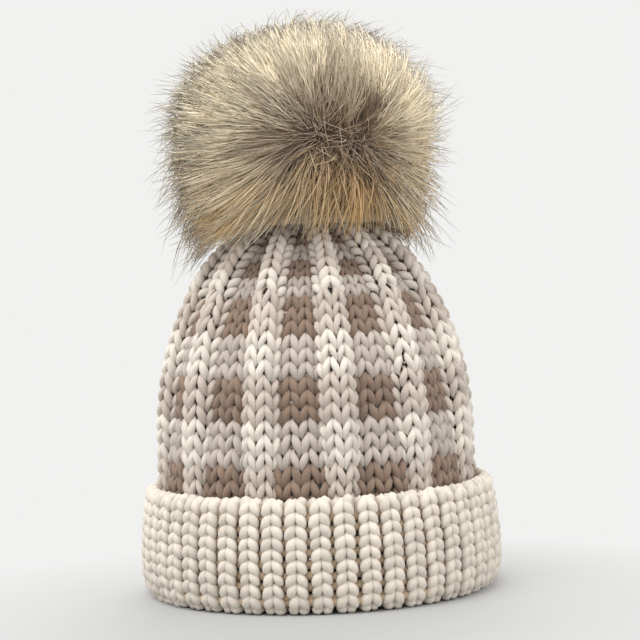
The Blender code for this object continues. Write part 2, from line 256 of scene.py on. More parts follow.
def wool(name, colour, depth=0.8, lift=1.1):
    """Soft roving: fibres lie along the yarn in streaks, and each stitch has its own tone."""
    material, tree, shader = blank_material(name)
    laid = node_of(tree, "ShaderNodeAttribute", attribute_name="laid").outputs["Vector"]
    tone = node_of(tree, "ShaderNodeAttribute", attribute_name="tone").outputs["Fac"]
    stretched = node_of(tree, "ShaderNodeMapping", [("Vector", laid)], Scale=(1, 1, 0.1))
    shifted = node_of(tree, "ShaderNodeVectorMath", [(0, stretched.outputs[0])], operation="ADD")
    tree.links.new(tone, shifted.inputs[1])
    fibres = node_of(tree, "ShaderNodeTexNoise", [("Vector", shifted.outputs[0])], Scale=1500, Detail=5)
    mottle = node_of(tree, "ShaderNodeTexNoise", [("Vector", shifted.outputs[0])], Scale=260, Detail=3)
    mixed = node_of(
        tree,
        "ShaderNodeMath",
        [(0, fibres.outputs["Fac"]), (1, mottle.outputs["Fac"])],
        operation="ADD",
    )
    toned = node_of(tree, "ShaderNodeMath", [(0, mixed.outputs[0]), (1, tone)], operation="ADD")
    place = node_of(
        tree,
        "ShaderNodeMapRange",
        [("Value", toned.outputs[0])],
        From_Min=0.75,
        From_Max=2.25,
    )
    stops = [(0.0, tinted(colour, depth)), (0.5, colour), (1.0, tinted(colour, lift))]
    tree.links.new(shades(tree, place.outputs[0], stops), shader.inputs["Base Color"])
    surface_relief(tree, shader, fibres.outputs["Fac"], 0.5, 0.0006)
    shader.inputs["Roughness"].default_value = 0.92
    shader.inputs["Specular IOR Level"].default_value = 0.2
    shader.inputs["Sheen Weight"].default_value = 0.2
    shader.inputs["Sheen Roughness"].default_value = 0.6
    return material


def rib_leg_front(share):
    """How far forward a rib leg stands along its length, which starts tucked under."""
    start = 1 - 2 * ((RIB_LEG_FULL - share) / RIB_LEG_FULL) ** 2
    end = 1 - 0.8 * ((share - RIB_LEG_FULL) / (1 - RIB_LEG_FULL)) ** 2
    return np.where(share < RIB_LEG_FULL, start, end)


def rib_leg_radius(share):
    """Yarn radius along a rib leg: pointed at its start and round at its end."""
    start = np.sin(np.clip(share / RIB_LEG_FULL, 0, 1) * math.pi / 2) ** 1.3
    end = (1 - np.clip((share - RIB_LEG_FULL) / (1 - RIB_LEG_FULL), 0, 1) ** 2) ** 0.6
    return RIB_LEG_TIP + (RIB_LEG - RIB_LEG_TIP) * start * end


def brim_profile():
    """(radius, height) along the brim's outer face, from the cuff's edge round the foot to the band."""
    inside = crown_out - RIB_FABRIC
    foot_out = (inside + cuff_out + FOOT_WIDTH) / 2
    foot_in = foot_out - FOOT_WIDTH
    share = np.linspace(1, 0, 40)
    quarter = np.radians(np.linspace(0, 90, 40))
    outer = np.stack([cuff_out - CUFF_LEAN * share**2, BULGE_HEIGHT + (cuff_top - BULGE_HEIGHT) * share])
    under = np.stack(
        [foot_out + (cuff_out - foot_out) * np.cos(quarter), BULGE_HEIGHT * (1 - np.sin(quarter))]
    )
    rise = np.stack(
        [foot_in - (foot_in - inside) * np.sin(quarter), RIB_FABRIC * (1 - np.cos(quarter))]
    )
    wall = np.stack([np.full(40, inside), np.linspace(RIB_FABRIC, BAND_TOP, 40)])
    return np.concatenate([outer, under[:, 1:], rise, wall[:, 1:]], axis=1)


profile = brim_profile()
profile_step = np.gradient(profile, axis=1)
profile_step /= np.linalg.norm(profile_step, axis=0)
profile_out = np.stack([-profile_step[1], profile_step[0]])
rib_reach = RIB_RISE + RIB_LEG
rib_line = profile - rib_reach * profile_out
rib_length = lengths_along(rib_line.T)
rib_rows = int(rib_length[-1] / RIB_ROW)


def on_brim(turn, length, out):
    """Points on the brim's yarn layer, lifted out of it, with the directions that face out of it."""
    radius, height, out_r, out_z = (
        np.interp(length, rib_length, values) for values in (*rib_line, *profile_out)
    )
    points = spin(radius + out * out_r, turn, height + out * out_z)
    return points, spin(out_r, turn, out_z)


def rib_legs(rows, side):
    """The left (-1) or right (1) legs of the knit stitches in some rows, one short yarn each."""
    share = np.linspace(0, 1, RIB_LEG_STEPS)
    column, row = np.meshgrid(np.arange(RIB_COLUMNS), rows, indexing="ij")
    count = column.size
    turn = column.reshape(-1, 1) * 2 * math.pi / RIB_COLUMNS
    middle = (row.reshape(-1, 1) + 0.75) * RIB_ROW + rng.normal(0, LEG_WANDER, (count, 1))
    size = 1 + rng.normal(0, 0.05, (count, 1))
    lean = 1 + rng.normal(0, 0.09, (count, 1))
    radius = np.interp(middle, rib_length, rib_line[0])
    tightness = radius / rib_line[0].max()
    across = side * (RIB_LEG_INNER + (RIB_LEG_OUTER - RIB_LEG_INNER) * share * lean) * tightness
    length = middle + (share - 0.5) * RIB_LEG_HEIGHT * size
    points, ups = on_brim(turn + across / radius, length, RIB_RISE * rib_leg_front(share))
    radii = rib_leg_radius(share) * size * tightness**0.5
    return lay_yarn(points, radii, ups, YARN_SIDES, rng.random((count, 1)))


def purl_bars(rows):
    """The purl bumps at the bottom of the grooves, as short bars across each groove."""
    share = np.linspace(-0.5, 0.5, 8)
    column, row = np.meshgrid(np.arange(RIB_COLUMNS) + 0.5, rows, indexing="ij")
    count = column.size
    turn = column.reshape(-1, 1) * 2 * math.pi / RIB_COLUMNS
    middle = (row.reshape(-1, 1) + 0.5) * RIB_ROW + rng.normal(0, BAR_WANDER, (count, 1))
    radius = np.interp(middle, rib_length, rib_line[0])
    arch = np.cos(math.pi * share)
    out = PURL_ARCH * arch - PURL_SINK + rng.normal(0, 0.0002, (count, 1))
    width = PURL_SPAN * radius / rib_line[0].max()
    points, ups = on_brim(turn + share * width / radius, middle + PURL_CURVE * arch, out)
    radii = np.full((count, len(share)), PURL_BAR)
    return lay_yarn(points, radii, ups, 6, rng.random((count, 1)))


cream_wool = wool("cream_wool", linear(206, 197, 184))
# The purl bars are the same cream wool as the columns; this darker tan is painted shade for the deep
# grooves they sit in.
painted_shade_groove_wool = wool("painted_shade_groove_wool", linear(178, 156, 130))
outer_rows = np.arange(0, rib_rows // 2 + 1)
inner_rows = np.arange(rib_rows // 2 + 1, rib_rows)
rib_pieces = [
    yarn_piece("cuff_rib_columns", [rib_legs(outer_rows, side) for side in (-1, 1)], cream_wool),
    yarn_piece("band_rib_columns", [rib_legs(inner_rows, side) for side in (-1, 1)], cream_wool),
    yarn_piece("rib_purl_bars", [purl_bars(np.arange(rib_rows))], painted_shade_groove_wool),
]

# Cast-on edge of the cuff
# The first row of loops, in the same cream wool. It rolls over the cuff's top edge in plump lobes,
# two to each rib column.
LOBES = 2 * RIB_COLUMNS
LOBE_YARN = 0.0027
LOBE_DROP = 0.0080
LOBE_BACK = 0.0013
LOBE_SLIDE = 0.0011
LOBE_WANDER = 0.00035
lobe_share = np.linspace(0, 1, 13)
lobe_turn = (np.arange(LOBES).reshape(-1, 1) + 0.5) * 2 * math.pi / LOBES
lobe_side = np.where(np.arange(LOBES) % 2, 1.0, -1.0).reshape(-1, 1)
lobe_size = 1 + rng.normal(0, 0.06, (LOBES, 1))
lobe_arc = lobe_share * math.pi
edge_radius = cuff_out - CUFF_LEAN - LOBE_YARN - LOBE_BACK
lobe_radius = edge_radius + LOBE_BACK * np.cos(lobe_arc) + 0.0 * lobe_turn
lobe_height = cuff_top - LOBE_YARN - LOBE_DROP * (1 - np.sin(lobe_arc)) * lobe_size
lobe_height = lobe_height + rng.normal(0, LOBE_WANDER, (LOBES, 1))
lobe_slide = lobe_side * LOBE_SLIDE * np.cos(lobe_arc) / edge_radius
lobe_points = spin(lobe_radius, lobe_turn + lobe_slide, lobe_height)
lobe_ups = spin(np.ones_like(lobe_radius), lobe_turn + lobe_slide + math.pi / 2, 0.0)
lobe_radii = LOBE_YARN * lobe_size * (0.72 + 0.28 * np.sin(lobe_arc))
lobes = lay_yarn(lobe_points, lobe_radii, lobe_ups, YARN_SIDES, rng.random((LOBES, 1)))
rib_pieces.append(yarn_piece("cuff_cast_on_edge", [lobes], cream_wool))
for piece in rib_pieces:
    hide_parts("ribbed_brim")
    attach(piece, "hat")

# Crown
# Stranded stocking stitch in four wools, three stitches and three rows to a check and fewer near
# the top, which is drawn in. The cream columns stand up as round ridges, and the taupe lie flat.
REPEATS = 12
FIRST_COLUMN = math.radians(8.9)
REPEAT_TURN = 2 * math.pi / REPEATS
RIDGE_SHARE = 0.355
RIDGE_SWING = math.radians(78)
RIDGE_HEIGHT = 0.0088
RIDGE_AT_CUFF = 0.42
RIDGE_RUN_IN = (0.055, 0.092)
RIDGE_MOST = 0.40
VALLEY_SWELL = 0.0009
CROWN_START = 0.0473
LOWER_ROW = 0.00757
LOWER_CHECKS = 5
UPPER_ROW = 0.0061
UPPER_CHECKS = 6
MERIDIAN_FOOT = 0.030
DOME_START = 0.080
DOME_RISE = 0.122
CROWN_LEG = 0.00212
CROWN_THIN = 0.0008
CROWN_POINT = 2.2
CROWN_RISE = 0.0015
CROWN_STITCH = 0.0078
CROWN_LOOP = 1.85
LEG_SLANT = 0.245
STITCH_STEPS = 20
STITCH_WANDER = 0.00035

dome_angle = np.radians(np.linspace(0, 86, 300))
meridian = np.concatenate(
    [
        np.stack([np.full(60, crown_out), np.linspace(MERIDIAN_FOOT, DOME_START, 60)])[:, :-1],
        np.stack([crown_out * np.cos(dome_angle), DOME_START + DOME_RISE * np.sin(dome_angle)]),
    ],
    axis=1,
)
meridian_length = MERIDIAN_FOOT + lengths_along(meridian.T)
meridian_step = np.gradient(meridian, axis=1)
meridian_step /= np.linalg.norm(meridian_step, axis=0)
meridian_out = np.stack([meridian_step[1], -meridian_step[0]])


def on_crown(repeat, raised, share, length):
    """Points on the crown's yarn layer: share runs across one raised or one flat column."""
    radius, height, out_r, out_z = (
        np.interp(length, meridian_length, values) for values in (*meridian, *meridian_out)
    )
    run_in = np.clip((length - RIDGE_RUN_IN[0]) / (RIDGE_RUN_IN[1] - RIDGE_RUN_IN[0]), 0, 1)
    relief = RIDGE_HEIGHT * (RIDGE_AT_CUFF + (1 - RIDGE_AT_CUFF) * run_in)
    relief = np.minimum(relief, RIDGE_MOST * radius)
    if raised:
        swing = (2 * share - 1) * RIDGE_SWING
        across = RIDGE_SHARE / 2 * np.sin(swing) / math.sin(RIDGE_SWING)
        drop = relief * (1 - np.cos(swing)) / (1 - math.cos(RIDGE_SWING))
    else:
        across = RIDGE_SHARE / 2 + share * (1 - RIDGE_SHARE)
        drop = relief - VALLEY_SWELL * np.sin(math.pi * share)
    drop = drop + CROWN_RISE + CROWN_LEG
    turn = FIRST_COLUMN + (repeat + across) * REPEAT_TURN
    return spin(radius - drop * out_r, turn, height - drop * out_z)


def loop_shape():
    """One knit loop, base to head and back: across in loop widths, up in loop heights, and forward."""
    turn = np.linspace(0, 2 * math.pi, STITCH_STEPS + 1)
    across = turn / (2 * math.pi) - 0.5 + LEG_SLANT * np.sin(2 * turn)
    return across, -0.5 * np.cos(turn), -np.cos(2 * turn)


def crown_stitches(raised, stitches, middle, row):
    """One row of one kind of column all round the crown: a yarn of a few loops in each column."""
    nudge = 0.01
    step = 0.001
    across, up, front = loop_shape()
    share = np.concatenate([(across[bool(k):] + 0.5 + k) / stitches for k in range(stitches)])
    up = np.concatenate([up[bool(k):] for k in range(stitches)])
    front = np.concatenate([front[bool(k):] for k in range(stitches)])
    stitch_of = np.minimum((np.arange(len(up)) - 1).clip(0) // STITCH_STEPS, stitches - 1)
    repeat = np.arange(REPEATS).reshape(-1, 1)
    size = 1 + rng.normal(0, 0.05, (REPEATS, stitches))[:, stitch_of]
    share = share + rng.normal(0, 0.014, (REPEATS, stitches))[:, stitch_of]
    length = middle + up * CROWN_LOOP * row * size
    length = length + rng.normal(0, STITCH_WANDER, (REPEATS, stitches))[:, stitch_of]
    base = on_crown(repeat, raised, share, length)
    widthwise = on_crown(repeat, raised, share + nudge, length)
    widthwise -= on_crown(repeat, raised, share - nudge, length)
    upward = on_crown(repeat, raised, share, length + step)
    upward -= on_crown(repeat, raised, share, length - step)
    ups = unit(np.cross(widthwise, upward))
    stitch = np.linalg.norm(widthwise, axis=2) / (2 * nudge * stitches)
    fit = np.clip(stitch / CROWN_STITCH, 0.45, 1.05)
    points = base + (CROWN_RISE * front * fit)[..., None] * ups
    swell = (1 - 4 * up**2).clip(0) ** CROWN_POINT
    radii = (CROWN_THIN + (CROWN_LEG - CROWN_THIN) * swell) * size * fit
    return lay_yarn(points, radii, ups, YARN_SIDES, rng.random((REPEATS, stitches))[:, stitch_of])


crown_wools = {
    (True, True): ("crown_cream_checks", wool("cream_check_wool", linear(208, 200, 188))),
    (True, False): ("crown_pale_checks", wool("pale_check_wool", linear(186, 174, 162))),
    (False, True): ("crown_greige_checks", wool("greige_check_wool", linear(176, 165, 155))),
    (False, False): ("crown_taupe_checks", wool("taupe_check_wool", linear(128, 107, 91))),
}
crown_layers = {key: [] for key in crown_wools}
crown_checks = [(LOWER_ROW, 3, check % 2 == 1) for check in range(LOWER_CHECKS)]
crown_checks += [(UPPER_ROW, 2, check % 2 == 0) for check in range(UPPER_CHECKS)]
crown_reached = CROWN_START
for check, (row, rows, light) in enumerate(crown_checks):
    ridge_stitches = 3 if check < 5 else 2
    valley_stitches = 3 if check < 7 else 2 if check < 9 else 1
    for _ in range(rows):
        middle = crown_reached + row / 2
        crown_layers[True, light].append(crown_stitches(True, ridge_stitches, middle, row))
        crown_layers[False, light].append(crown_stitches(False, valley_stitches, middle, row))
        crown_reached += row
for key, (name, material) in crown_wools.items():
    piece = yarn_piece(name, crown_layers[key], material)
    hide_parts("crown_shell")
    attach(piece, "hat")

# Floats inside the crown
# Where one wool shows on the outside, the other is carried along the inside as a loose strand,
# cream and taupe by turns.
FLOAT_DEPTH = 0.0125
FLOAT_YARN = 0.0014
FLOAT_WANDER = 0.0006
float_turn = np.linspace(0, 2 * math.pi, 145)
float_rows = np.arange(CROWN_START + LOWER_ROW, crown_reached - 2 * UPPER_ROW, UPPER_ROW / 2)
float_length = float_rows[:, None] + rng.normal(0, FLOAT_WANDER, (len(float_rows), len(float_turn)))
float_radius, float_height, float_r, float_z = (
    np.interp(float_length, meridian_length, values) for values in (*meridian, *meridian_out)
)
float_points = spin(float_radius - FLOAT_DEPTH * float_r, float_turn, float_height - FLOAT_DEPTH * float_z)
float_ups = spin(float_r, float_turn, float_z)
float_radii = np.full(float_length.shape, FLOAT_YARN)
for first, name, cream in ((0, "crown_cream_floats", True), (1, "crown_taupe_floats", False)):
    own = slice(first, None, 2)
    layer = lay_yarn(float_points[own], float_radii[own], float_ups[own], 6, rng.random((1, 1)))
    piece = yarn_piece(name, [layer], crown_wools[cream, cream][1])
    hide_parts("crown_shell")
    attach(piece, "hat")

# Cinch yarn
# The tail of the cream wool, two plies twisted together. It is drawn through the last round of
# stitches and closes the crown.
cinch_low, cinch_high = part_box("crown_cinch_yarn")
cinch_yarn = (cinch_high.z - cinch_low.z) / 2


def rounded(route, closed):
    """A route with its corners cut off three times over."""
    points = np.array(route)
    for _ in range(3):
        before = points if closed else points[:-1]
        after = np.roll(points, -1, axis=0) if closed else points[1:]
        cut = np.stack([0.75 * before + 0.25 * after, 0.25 * before + 0.75 * after], 1).reshape(-1, 3)
        points = cut if closed else np.concatenate([points[:1], cut, points[-1:]])
    return np.concatenate([points, points[:1]]) if closed else points


def twisted(name, route, radius, plies, material, closed=True):
    """A yarn or thread of a few plies twisted together along a route."""
    pitch = 6 * radius
    line = rounded(route, closed)
    length = lengths_along(line)
    steps = np.linspace(0, length[-1], max(16, int(8 * length[-1] / pitch)))
    line = np.stack([np.interp(steps, length, line[:, axis]) for axis in range(3)], -1)
    along = unit(np.gradient(line, axis=0))
    side = np.cross(along[0], [0.31, 0.52, 0.79])
    sides = []
    for way in along:
        side = unit(side - way * (side @ way))
        sides.append(side)
    turn = 2 * math.pi * (steps / pitch + np.arange(plies)[:, None] / plies)
    out = np.cos(turn)[..., None] * np.array(sides) + np.sin(turn)[..., None] * np.cross(along, sides)
    radii = np.full(turn.shape, 0.52 * radius)
    layer = lay_yarn(line + 0.48 * radius * out, radii, out, 6, rng.random((plies, 1)))
    return yarn_piece(name, [layer], material)


def ring(radius, height, start=0.0, end=2 * math.pi, count=25):
    return spin(radius, np.linspace(start, end, count), height)


cinch_route = ring(cinch_high.x - cinch_yarn, cinch_low.z + cinch_yarn)[:-1]
cinch = twisted("cinch_yarn_twist", cinch_route, cinch_yarn, 2, cream_wool)
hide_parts("crown_cinch_yarn")
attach(cinch, "hat")

# Button and stud
# A mottled four-hole plastic button inside the crown and a pressed nickel stud on top of it, sewn
# together through the gathered hole with waxed cotton thread.
EDGE_ROUND = 0.0002


def hard(name, dark, light, roughness, metallic, scale, stretch):
    """Plastic or metal with its own mottle, which also changes how polished it is."""
    material, tree, shader = blank_material(name)
    place = node_of(tree, "ShaderNodeTexCoord").outputs["Object"]
    drawn = node_of(tree, "ShaderNodeMapping", [("Vector", place)], Scale=stretch)
    mottle = node_of(tree, "ShaderNodeTexNoise", [("Vector", drawn.outputs[0])], Scale=scale, Detail=5)
    colour = shades(tree, mottle.outputs["Fac"], [(0.3, dark), (0.7, light)])
    tree.links.new(colour, shader.inputs["Base Color"])
    polish = node_of(
        tree,
        "ShaderNodeMapRange",
        [("Value", mottle.outputs["Fac"])],
        To_Min=roughness - 0.08,
        To_Max=roughness + 0.10,
    )
    tree.links.new(polish.outputs[0], shader.inputs["Roughness"])
    surface_relief(tree, shader, mottle.outputs["Fac"], 0.15, 0.0002)
    shader.inputs["Metallic"].default_value = metallic
    return material


def dress(node, material):
    """Gives a hard CAD piece its material and small rounded edges."""
    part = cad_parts[node]
    part.material_slots[0].material = material
    weld = part.modifiers.new("weld", "WELD")
    weld.merge_threshold = 0.000001
    edges = part.modifiers.new("rounded_edges", "BEVEL")
    edges.width = EDGE_ROUND
    edges.segments = 2
    edges.limit_method = "ANGLE"
    edges.angle_limit = math.radians(40)


horn_plastic = hard(
    "horn_plastic", linear(168, 146, 116), linear(214, 198, 170), 0.34, 0.0, 160, (1, 1, 2.5)
)
nickel = hard("nickel_plate", linear(176, 174, 170), linear(206, 204, 200), 0.28, 1.0, 900, (1, 1, 0.2))
dress("backing_button", horn_plastic)
dress("snap_stud", nickel)
cotton = wool("waxed_cotton", linear(214, 203, 184), 0.85, 1.08)
THREAD = 0.0005
THREAD_BEND = 2 * THREAD
sewn_low, sewn_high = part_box("stud_thread")
sewn_circle = sewn_high.x - THREAD
sewn_bottom, sewn_top = sewn_low.z + THREAD, sewn_high.z - THREAD
sewn_turn = THREAD_BEND / sewn_circle
sewn_route = []
for up in (math.pi / 2, 3 * math.pi / 2):
    down = up + math.pi / 2
    sewn_route.append(spin(sewn_circle, up, [sewn_bottom + THREAD_BEND, sewn_top - THREAD_BEND]))
    sewn_route.append(ring(sewn_circle, sewn_top, up + sewn_turn, down - sewn_turn, 4))
    sewn_route.append(spin(sewn_circle, down, [sewn_top - THREAD_BEND, sewn_bottom + THREAD_BEND]))
    sewn_route.append(ring(sewn_circle, sewn_bottom, down + sewn_turn, up + math.pi - sewn_turn, 4))
sewn = twisted("stud_sewing", np.concatenate(sewn_route), THREAD, 3, cotton)
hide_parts("stud_thread")
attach(sewn, "hat")

# Spring and socket
# A split ring of hard steel wire sits in the groove of the nickel socket and grips the stud. The
# socket's flange is lashed to the pompom with the same cotton.
LASHING_RADIUS = 0.0042
dress("snap_socket", nickel)
spring_steel = hard("spring_steel", linear(150, 150, 152), linear(190, 190, 193), 0.22, 1.0, 700, (1, 1, 1))
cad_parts["snap_spring"].material_slots[0].material = spring_steel
lash_low, lash_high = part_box("socket_thread")
lash_circle = lash_high.x - THREAD
lash_below, lash_above = lash_low.z + THREAD, lash_high.z - THREAD
lash_turn = THREAD_BEND / lash_circle
inner_turn = THREAD_BEND / LASHING_RADIUS
lash_in = np.array([lash_circle - THREAD_BEND, LASHING_RADIUS + THREAD_BEND])
lash_route = []
for up in (math.pi / 2, 3 * math.pi / 2):
    down = up + math.pi / 2
    lash_route.append(spin(lash_circle, up, [lash_below + THREAD_BEND, lash_above - THREAD_BEND]))
    lash_route.append(spin(lash_in, up, lash_above))
    lash_route.append(ring(LASHING_RADIUS, lash_above, up + inner_turn, down - inner_turn, 4))
    lash_route.append(spin(lash_in[::-1], down, lash_above))
    lash_route.append(spin(lash_circle, down, [lash_above - THREAD_BEND, lash_below + THREAD_BEND]))
    lash_route.append(ring(lash_circle, lash_below, down + lash_turn, up + math.pi - lash_turn, 6))
lashing = twisted("socket_lashing", np.concatenate(lash_route), THREAD, 3, cotton)
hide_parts("socket_thread")
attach(lashing, "socket_half")

# Thread shank
# The pompom's own sewing thread, wound round itself into a short stem with a ball at its foot and
# a flat knot inside the neck.
WRAP = 0.00042
WRAP_PITCH = 1.7 * WRAP
shank_low, shank_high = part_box("thread_shank")
SHANK_BALL = 0.0026
SHANK_STEM = 0.0022
KNOT_RADIUS = shank_high.x
KNOT_HEIGHT = 0.0025
ball_arc = np.radians(np.linspace(-75, 30, 8))
shank_line = np.concatenate(
    [
        np.stack([SHANK_BALL * np.cos(ball_arc), shank_low.z + SHANK_BALL * (1 + np.sin(ball_arc))], -1),
        [
            (SHANK_STEM, shank_low.z + 2 * SHANK_BALL),
            (SHANK_STEM, shank_high.z - KNOT_HEIGHT),
            (KNOT_RADIUS - 0.0006, shank_high.z - KNOT_HEIGHT + 0.0002),
            (KNOT_RADIUS, shank_high.z - KNOT_HEIGHT / 2),
            (KNOT_RADIUS - 0.0006, shank_high.z - 0.0002),
            (0.0008, shank_high.z - 0.0002),
        ],
    ]
)
shank_line[:, 0] -= WRAP


def turned_piece(name, line, steps, material):
    """A piece turned about the hat's axis from (radius, height) points."""
    shape = bmesh.new()
    corners = [shape.verts.new((radius, 0, height)) for radius, height in line]
    edges = [shape.edges.new(pair) for pair in zip(corners, corners[1:])]
    bmesh.ops.spin(
        shape, geom=corners + edges, axis=(0, 0, 1), cent=(0, 0, 0), angle=2 * math.pi, steps=steps
    )
    bmesh.ops.remove_doubles(shape, verts=shape.verts, dist=1e-6)
    bmesh.ops.recalc_face_normals(shape, faces=shape.faces)
    mesh = bpy.data.meshes.new(name)
    shape.to_mesh(mesh)
    shape.free()
    mesh.shade_smooth()
    mesh.materials.append(material)
    piece = bpy.data.objects.new(name, mesh)
    bpy.context.scene.collection.objects.link(piece)
    return piece


def plush(name, dark, light, scale, paler=None):
    """Short dense fibre, rough and mottled, and paler where the piece's tone says so."""
    material, tree, shader = blank_material(name)
    place = node_of(tree, "ShaderNodeTexCoord").outputs["Object"]
    clumps = node_of(tree, "ShaderNodeTexNoise", [("Vector", place)], Scale=scale, Detail=6)
    colour = shades(tree, clumps.outputs["Fac"], [(0.3, dark), (0.7, light)])
    if paler:
        tone = node_of(tree, "ShaderNodeAttribute", attribute_name="tone").outputs["Fac"]
        mixed = node_of(tree, "ShaderNodeMix", [(0, tone), (6, colour)], data_type="RGBA")
        mixed.inputs[7].default_value = (*paler, 1)
        colour = mixed.outputs[2]
    tree.links.new(colour, shader.inputs["Base Color"])
    surface_relief(tree, shader, clumps.outputs["Fac"], 0.8, 0.002)
    shader.inputs["Roughness"].default_value = 0.95
    shader.inputs["Sheen Weight"].default_value = 0.3
    return material


shank_length = lengths_along(shank_line)
wrap_count = shank_length[-1] / WRAP_PITCH
wrap_share = np.linspace(0, 1, int(20 * wrap_count))
wrap_place = wrap_share * shank_length[-1]
wrap_radius, wrap_height = (np.interp(wrap_place, shank_length, line) for line in shank_line.T)
wrap_route = spin(wrap_radius, wrap_share * wrap_count * 2 * math.pi, wrap_height)
shank_core = [(0, shank_line[0, 1]), *shank_line, (0, shank_line[-1, 1])]
shank_cotton = plush("shank_cotton", linear(150, 138, 118), linear(206, 194, 174), 900)
for piece in (
    turned_piece("shank_core", shank_core, 32, shank_cotton),
    twisted("shank_winding", wrap_route, WRAP, 2, cotton, closed=False),
):
    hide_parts("thread_shank")
    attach(piece, "pompom")

# Backing ball
# The fur's woven backing, a plain brown cloth. It is sewn into a ball and drawn into a pleated
# neck by a gathering thread.
backing_low, backing_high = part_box("pompom_backing")
BALL_RADIUS = backing_high.x
BACKING = 0.002
INSIDE_RADIUS = BALL_RADIUS - BACKING
NECK_RADIUS = 0.007
PLEATS = 18
PLEAT_DEPTH = 0.05
ball_centre = np.array([0, 0, backing_high.z - BALL_RADIUS])
neck_angle = -math.acos(NECK_RADIUS / BALL_RADIUS)
neck_bend = np.linspace(math.pi / 2, neck_angle, 40)
inner_bend = np.linspace(-math.acos((NECK_RADIUS - BACKING) / INSIDE_RADIUS), math.pi / 2, 40)
cloth_line = np.concatenate(
    [
        np.stack([BALL_RADIUS * np.cos(neck_bend), ball_centre[2] + BALL_RADIUS * np.sin(neck_bend)], -1),
        [(NECK_RADIUS, backing_low.z), (NECK_RADIUS - BACKING, backing_low.z)],
        INSIDE_RADIUS * np.stack([np.cos(inner_bend), np.sin(inner_bend)], -1) + ball_centre[[0, 2]],
    ]
)


def weave(name, dark, light):
    """Plain woven cloth: two sets of fine threads over and under each other."""
    material, tree, shader = blank_material(name)
    place = node_of(tree, "ShaderNodeTexCoord").outputs["Object"]
    wave = {"Scale": 420, "Distortion": 1.5}
    warp, weft = (
        node_of(tree, "ShaderNodeTexWave", [("Vector", place)], bands_direction=way, **wave).outputs["Fac"]
        for way in ("X", "Z")
    )
    crossed = node_of(tree, "ShaderNodeMath", [(0, warp), (1, weft)])
    half = node_of(tree, "ShaderNodeMath", [(0, crossed.outputs[0])], operation="MULTIPLY")
    half.inputs[1].default_value = 0.5
    tree.links.new(shades(tree, half.outputs[0], [(0.1, dark), (0.9, light)]), shader.inputs["Base Color"])
    surface_relief(tree, shader, half.outputs[0], 0.6, 0.0004)
    shader.inputs["Roughness"].default_value = 0.9
    return material


backing_weave = weave("backing_weave", linear(92, 74, 56), linear(142, 120, 94))
backing = turned_piece("backing_cloth", cloth_line, 144, backing_weave)
for vertex in backing.data.vertices:
    place = vertex.co - Vector(ball_centre)
    low = min(1.0, max(0.0, -place.z / BALL_RADIUS))
    pleat = 1 - PLEAT_DEPTH * low**3 * (1 - math.cos(PLEATS * math.atan2(place.y, place.x))) / 2
    vertex.co.x *= pleat
    vertex.co.y *= pleat
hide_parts("pompom_backing")
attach(backing, "pompom")

draw_low, draw_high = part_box("gathering_thread")
draw_thread = (draw_high.z - draw_low.z) / 2
draw_route = ring(draw_high.x - draw_thread, draw_low.z + draw_thread)[:-1]
draw = twisted("gathering_thread_twist", draw_route, draw_thread, 3, cotton)
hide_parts("gathering_thread")
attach(draw, "pompom")

# Stuffing
# A loose ball of white polyester fibre, a little lumpy. It is pushed into the backing before the
# neck is drawn shut.
STUFFING_LUMPS = 0.0012
fill_low, fill_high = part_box("pompom_stuffing")
fill_middle = (fill_low + fill_high) / 2
fill_radius = fill_high.x - STUFFING_LUMPS
fill_bend = np.linspace(-math.pi / 2, math.pi / 2, 40)
fill_rise = (fill_high.z - fill_low.z) / 2 - STUFFING_LUMPS
fill_line = np.stack([fill_radius * np.cos(fill_bend), fill_middle.z + fill_rise * np.sin(fill_bend)], -1)
polyester = plush("polyester_fibre", linear(206, 206, 204), linear(240, 240, 238), 260)
stuffing = turned_piece("fibre_ball", fill_line, 96, polyester)
for vertex in stuffing.data.vertices:
    place = vertex.co - fill_middle
    lumps = math.sin(290 * place.x + 1) * math.sin(330 * place.y) * math.sin(310 * place.z + 2)
    vertex.co += place.normalized() * STUFFING_LUMPS * lumps
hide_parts("pompom_stuffing")
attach(stuffing, "pompom")

# Fur pile
# Long faux fur on the gathered ball. A dense taupe underfur carries locks of softer hair that lie
# along it, away from a crease at the front, and long dark-tipped guard hairs stand over them.
fur_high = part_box("pompom_fur")[1]
FUR_RADIUS = 0.975 * fur_high.x
FUR_RISE_SHARE = 0.92
FUR_MOUTH = 0.012
FUR_DEPTH = 0.093
FUR_OVER_CROWN = 0.0035
UNDERFUR_SHARE = 0.88
UNDERFUR_THINNING = 0.4
ROOT_SHARE = 0.79
CREASE_FROM = unit(np.array([0.45, -0.86, -0.24]))
CREASE_TO = unit(np.array([0.12, -0.97, -0.18]))
BACK_WHORL = np.array([-0.30, 0.92, 0.25])
LOCKS = 1100
LOCK_PULL = 0.6
WHORL_TANGLE = 0.06
AWN_HAIRS = 38000
AWN_SWEEP = math.radians(31)
GUARD_HAIRS = 6000
GUARD_SWEEP = math.radians(34)
STRAND_STEPS = 7
STRAND_RADIUS = 0.0003
SKIRT_BELOW = -0.2
SKIRT_HANG = 0.09
SKIRT_PIECES = 4
UPPER_PIECES = 8
fur_rng = np.random.default_rng(23)
fur_rise = FUR_RISE_SHARE * (fur_high.z - ball_centre[2])

fur_turn = np.radians(np.linspace(-90, 90, 91))
fur_outline = np.stack([np.cos(fur_turn), np.sin(fur_turn)])
fur_outline *= [[FUR_RADIUS], [1]]
fur_outline[1] *= np.where(fur_turn < 0, FUR_DEPTH, fur_rise)
dome_under = DOME_START + DOME_RISE * np.sqrt(1 - (fur_outline[0] / crown_out) ** 2)
fur_outline[1] = np.maximum(fur_outline[1], dome_under + FUR_OVER_CROWN - ball_centre[2])
fur_outline = fur_outline[:, fur_outline[0] > FUR_MOUTH]
outline_angle = np.arctan2(fur_outline[1], fur_outline[0])
outline_reach = np.hypot(*fur_outline)


